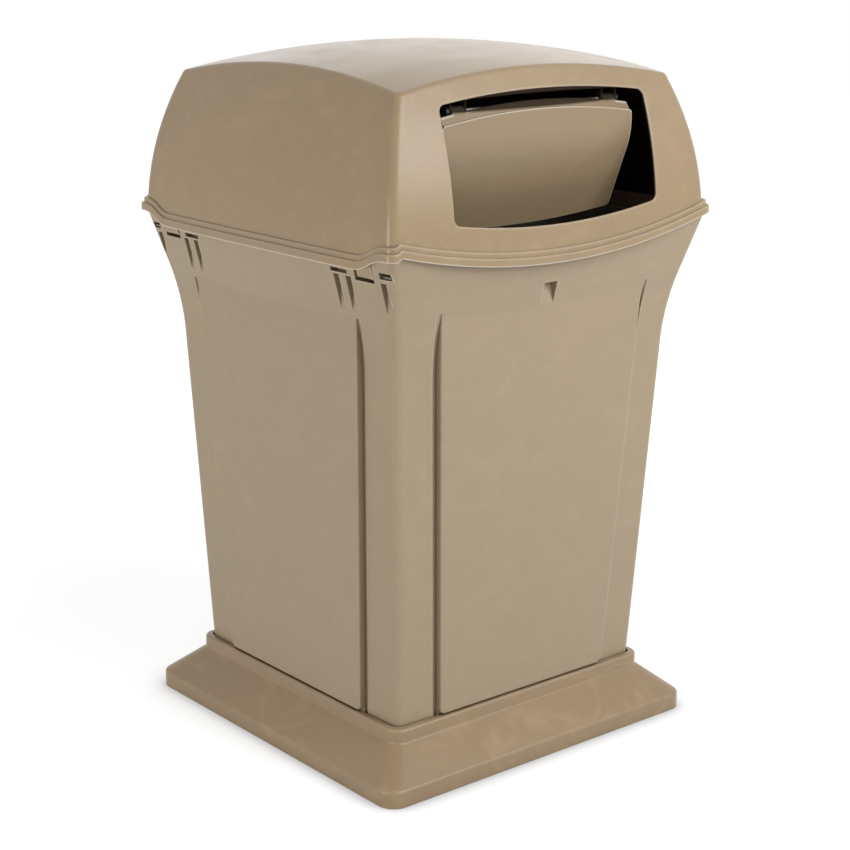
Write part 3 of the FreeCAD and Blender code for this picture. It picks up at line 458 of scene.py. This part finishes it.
def black_cap(name):
    material, nodes = new_material(name)
    grain = nodes.noise(nodes.object_place(), *cap_noise)
    nodes.surface({
        "Base Color": nodes.blended(grain, from_screen(cap_dark), from_screen(cap_pale)),
        "Roughness": nodes.spread(grain, *noise_range, *cap_rough),
        "Normal": nodes.bump(grain, cap_strength, cap_depth),
    })
    return material


def make_materials():
    """One material for each slot of the record."""
    plastics = {
        "plinth_plastic": dict(color=(156, 132, 99), seed=1, gloss=0.34, scuffs=0.16),
        "body_plastic": dict(color=(166, 147, 117), seed=2, gloss=0.38, scuffs=0.05, painted_highlight_lift=0.30),
        # The inside colours of the hood and of the door's knuckles are painted shade.
        "hood_plastic": dict(color=(162, 138, 104), seed=3, gloss=0.32, scuffs=0.08, painted_highlight_lift=0.75,
                             inside=(52, 43, 33), painted_shade_mask=painted_shade_inside_hood),
        "door_plastic": dict(color=(150, 129, 98), seed=4, gloss=0.42, scuffs=0.03,
                             inside=(64, 54, 41), painted_shade_mask=painted_shade_on_knuckles),
    }
    steels = {
        # The pins' colour is darker than bare steel: painted shade, as the pins sit in shadow in
        # their ports.
        "pin_steel": dict(color=(128, 124, 118), rough=0.42, stretch=(1, 0.08, 1),
                          grain_scale=900.0, stain_scale=41.0),
        "fastener_steel": dict(color=(196, 195, 188), rough=0.34, stretch=(1, 1, 0.1),
                               grain_scale=800.0, stain_scale=42.0),
        "handle_steel": dict(color=(176, 178, 180), rough=0.40, stretch=(1, 0.1, 1),
                             grain_scale=700.0, stain_scale=43.0),
    }
    made = {slot: moulded_plastic(slot, **look) for slot, look in plastics.items()}
    made.update({slot: steel(slot, **look) for slot, look in steels.items()})
    made["cap_plastic"] = black_cap("cap_plastic")
    made["liner_steel"] = galvanised("liner_steel")
    return made


def dress_nodes():
    """Give every CAD node the material of its slot."""
    materials = make_materials()
    for part in frame["record"]["subparts"]:
        node = frame["nodes"][part["node"]]
        node.data.materials.clear()
        node.data.materials.append(materials[part["material_slot"]])


# Studio


def make_floor():
    """A pale floor that keeps the object's shadow, with a painted contact shadow around the object,
    and that turns white further away.
    """
    mesh = bpy.data.meshes.new("floor")
    around = ((-1, -1), (1, -1), (1, 1), (-1, 1))
    corners = [(x * floor_half, y * floor_half, 0) for x, y in around]
    mesh.from_pydata(corners, [], [(0, 1, 2, 3)])
    floor = bpy.data.objects.new("floor", mesh)
    bpy.context.collection.objects.link(floor)
    material, nodes = new_material("floor")
    seen = nodes.background_ray()
    far = nodes.measured("LENGTH", nodes.object_place())
    # Painted contact shadow: both the diffuse and the glow darken near the object.
    contact = nodes.occlusion(contact_reach, contact_samples)
    shade = nodes.spread(contact, *contact_range, contact_shade, 1.0)
    pale = nodes.times(nodes.spread(seen, *full_range, floor_albedo, seen_albedo), shade)
    shine = nodes.times(nodes.spread(far, near_floor, far_floor, floor_glow, 1.0), shade)
    grey = nodes.add("CombineColor")
    for socket in grey.inputs[:3]:
        nodes.put(socket, pale)
    diffuse = nodes.add("BsdfDiffuse")
    nodes.put(diffuse.inputs["Color"], grey.outputs[0])
    glow = nodes.add("Emission")
    nodes.put(glow.inputs["Color"], white)
    nodes.put(glow.inputs["Strength"], nodes.times(seen, shine))
    both = nodes.add("AddShader")
    nodes.put(both.inputs[0], diffuse.outputs[0])
    nodes.put(both.inputs[1], glow.outputs[0])
    nodes.end("OutputMaterial", both)
    mesh.materials.append(material)


def make_world():
    """A white background that lights the object only a little."""
    world = bpy.data.worlds.new("studio")
    bpy.context.scene.world = world
    world.use_nodes = True
    nodes = Nodes(world.node_tree)
    back = nodes.add("Background")
    nodes.put(back.inputs["Color"], white)
    strength = nodes.spread(nodes.background_ray(), *full_range, ambient, 1.0)
    nodes.put(back.inputs["Strength"], strength)
    nodes.end("OutputWorld", back)


def make_lamp(name, place, aim, width, height, watts, color):
    data = bpy.data.lights.new(name, "AREA")
    data.shape = "RECTANGLE"
    data.size = width
    data.size_y = height
    data.energy = watts
    data.color = color
    lamp = bpy.data.objects.new(name, data)
    lamp.location = place
    lamp.rotation_euler = (Vector(aim) - Vector(place)).to_track_quat("-Z", "Y").to_euler()
    bpy.context.collection.objects.link(lamp)


def main():
    make_camera()
    dress_nodes()
    make_floor()
    make_world()
    for lamp in lamps:
        make_lamp(*lamp)
    view = bpy.context.scene.view_settings
    view.view_transform = "Standard"


main()
